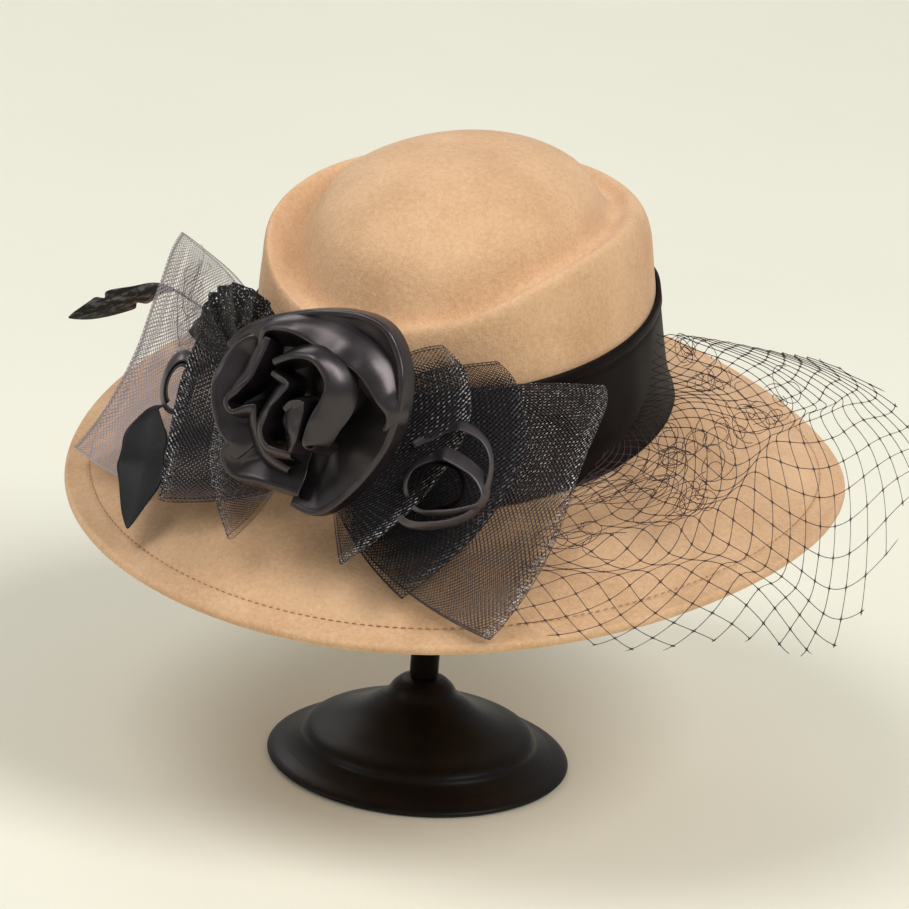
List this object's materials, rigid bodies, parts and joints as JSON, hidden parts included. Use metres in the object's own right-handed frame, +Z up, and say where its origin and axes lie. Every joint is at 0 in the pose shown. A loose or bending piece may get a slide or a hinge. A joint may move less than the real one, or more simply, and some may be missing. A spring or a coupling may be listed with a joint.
{
  "type": "derby hat on display stand",
  "caption": "Wide-brimmed camel felt derby hat with a teardrop crown, black satin band and rose, crinoline loops, feathers and a net veil, held on a low turned stand.",
  "frame": {"origin": "centre of the stand's flat underside", "axes": "+Z up along the stand's pole, the hat's front toward -Y and the wearer's left toward +X; the hat is tipped 7.5 degrees forward on its stand"},
  "size_m": [0.382, 0.3342, 0.2764],
  "materials": {
    "camel_felt": "brushed wool felt",
    "black_satin": "soft satin sheen",
    "black_crinoline": "open horsehair weave with metallic threads",
    "black_net": "fine knotted net",
    "black_feather": "dyed feather",
    "stand_black": "satin black lacquer"
  },
  "bodies": {
    "root": {"felt_body": "camel_felt", "crown_band": "black_satin", "satin_loop_left": "black_satin", "rose_heart": "black_satin", "net_tuft": "black_net", "veil": "black_net", "feather_upper": "black_feather", "feather_lower": "black_feather", "stand_pad": "stand_black", "stand_base": "stand_black", "stand_pole": "stand_black", "crinoline_right_wide": "black_crinoline", "crinoline_right_dark": "black_crinoline", "crinoline_right_near": "black_crinoline", "crinoline_left_tall": "black_crinoline", "crinoline_left_low": "black_crinoline", "crinoline_left_tail": "black_crinoline", "rose_petal_1": "black_satin", "rose_petal_2": "black_satin", "rose_petal_3": "black_satin", "rose_petal_4": "black_satin", "rose_petal_5": "black_satin", "rose_petal_6": "black_satin", "rose_petal_7": "black_satin", "satin_ring_1": "black_satin", "satin_ring_2": "black_satin", "satin_ring_3": "black_satin"}
  },
  "joints": []
}
